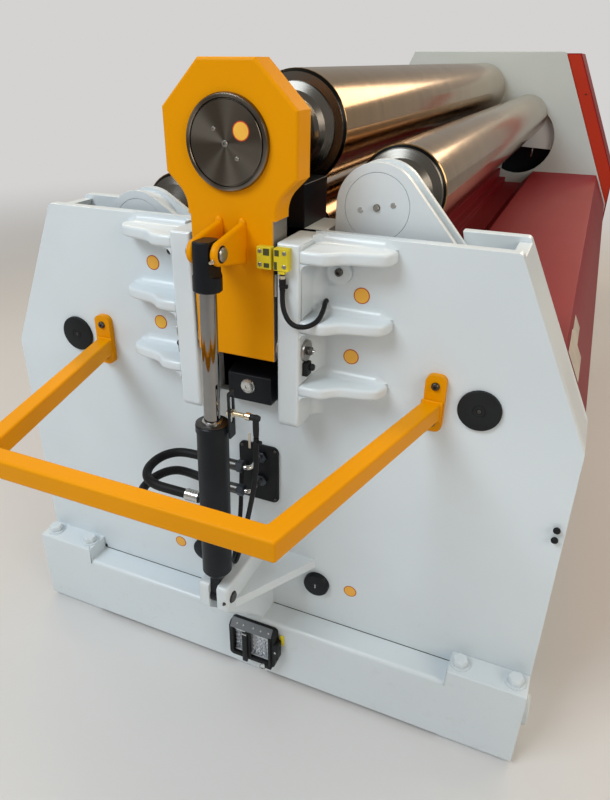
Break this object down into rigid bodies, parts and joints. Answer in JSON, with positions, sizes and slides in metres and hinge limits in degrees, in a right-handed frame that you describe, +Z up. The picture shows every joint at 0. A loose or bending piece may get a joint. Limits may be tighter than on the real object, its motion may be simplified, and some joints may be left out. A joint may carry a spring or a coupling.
{
  "type": "four-roll plate bending machine",
  "caption": "Plate rolling machine with a pinching pair of rolls, two swinging side rolls and a drop end that tilts out under a hydraulic cylinder.",
  "frame": {"origin": "on the floor, under the middle of the machine's overall box", "axes": "+X across the machine, +Y along the rolls from the drop end to the drive end, +Z up"},
  "size_m": [1.164, 3, 1.251],
  "materials": {
    "black_paint": "satin",
    "black_plastic": "moulded",
    "black_rubber": "ribbed rubber",
    "bright_chrome": "polished",
    "ground_steel": "ground and polished",
    "nickel": "nickel plated",
    "red_paint": "semi-gloss enamel",
    "switch_yellow": "moulded",
    "turned_steel": "turned, oiled",
    "white_paint": "semi-gloss enamel",
    "yellow_paint": "semi-gloss enamel",
    "zinc_steel": "zinc plated"
  },
  "bodies": {
    "root": {"front_base_beam": "white_paint", "rear_base_beam": "white_paint", "base_side_beams": "white_paint", "front_plate": "white_paint", "front_inner_plate": "white_paint", "front_webs": "white_paint", "guide_wall_left": "white_paint", "guide_wall_right": "white_paint", "slot_block": "black_paint", "yoke_pivot_pin": "turned_steel", "arm_axles_front": "zinc_steel", "arm_axles_rear": "zinc_steel", "side_caps": "black_plastic", "pin_caps": "black_paint", "side_cover_left": "red_paint", "side_cover_right": "red_paint", "drive_plate": "white_paint", "drive_outer_plate": "white_paint", "drive_guides": "white_paint", "drive_cover_shroud": "red_paint", "drive_cover_back": "red_paint", "guard_rail": "yellow_paint", "hose_cover_plate": "black_plastic", "hose_elbows": "zinc_steel", "power_socket": "black_plastic", "socket_insert": "zinc_steel", "cylinder_lug": "white_paint", "lug_pin": "turned_steel", "switch_wall_half": "switch_yellow", "switch_cable": "black_rubber"},
    "drop_end": {"yoke": "yellow_paint", "yoke_cap": "turned_steel", "yoke_bearing": "turned_steel", "rod_pin_stubs": "turned_steel", "switch_yoke_half": "switch_yellow"},
    "barrel": {"cylinder_barrel": "black_paint", "upper_hose": "black_rubber", "lower_hose": "black_rubber", "sensor_bracket": "zinc_steel", "sensor": "nickel", "sensor_plug": "black_plastic", "sensor_cable": "black_rubber"},
    "rod": {"cylinder_rod": "bright_chrome", "rod_end": "black_paint"},
    "top_roll": {"top_roll": "ground_steel", "top_roll_neck": "ground_steel"},
    "bottom_carriage": {"bottom_front_block": "black_paint", "bottom_rear_block": "black_paint"},
    "bottom_roll": {"bottom_roll": "ground_steel"},
    "right_swing": {"right_arms": "white_paint", "right_arm_cover": "white_paint"},
    "right_roll": {"right_roll": "ground_steel"},
    "left_swing": {"left_arms": "white_paint", "left_arm_cover": "white_paint"},
    "left_roll": {"left_roll": "ground_steel"}
  },
  "joints": [
    {"name": "drop_end_tilt", "type": "hinge", "parent": "root", "child": "drop_end", "pos_m": [0, -1.113, 0.8], "axis": [1, 0, 0], "range_deg": [0, 72]},
    {"name": "barrel_tilt", "type": "hinge", "parent": "root", "child": "barrel", "pos_m": [0, -1.242, 0.336], "axis": [1, 0, 0], "range_deg": [0, 11.55]},
    {"name": "rod_slide", "type": "slide", "parent": "barrel", "child": "rod", "axis": [0, 0.0423, 0.9991], "range_m": [-0.2125, 0]},
    {"name": "top_roll_turn", "type": "hinge", "parent": "root", "child": "top_roll", "pos_m": [0, -1.068, 1.114], "axis": [0, 1, 0], "continuous": true},
    {"name": "bottom_lift", "type": "slide", "parent": "root", "child": "bottom_carriage", "axis": [0, 0, 1], "range_m": [-0.03, 0.012]},
    {"name": "bottom_roll_turn", "type": "hinge", "parent": "bottom_carriage", "child": "bottom_roll", "pos_m": [0, -1.068, 0.917], "axis": [0, 1, 0], "continuous": true},
    {"name": "right_arm_swing", "type": "hinge", "parent": "root", "child": "right_swing", "pos_m": [0.156, -1.068, 0.925], "axis": [0, -1, 0], "range_deg": [-80, 8]},
    {"name": "right_roll_turn", "type": "hinge", "parent": "right_swing", "child": "right_roll", "pos_m": [0.19465, -1.068, 1.01831], "axis": [0, 1, 0], "continuous": true},
    {"name": "left_arm_swing", "type": "hinge", "parent": "root", "child": "left_swing", "pos_m": [-0.156, -1.068, 0.925], "axis": [0, 1, 0], "range_deg": [-23, 64]},
    {"name": "left_roll_turn", "type": "hinge", "parent": "left_swing", "child": "left_roll", "pos_m": [-0.25514, -1.068, 0.94427], "axis": [0, 1, 0], "continuous": true}
  ],
  "couplings": [
    {"joint": "barrel_tilt", "follows": "drop_end_tilt", "ratio": 0.15956},
    {"joint": "rod_slide", "follows": "drop_end_tilt", "m_per_rad": -0.16855}
  ]
}
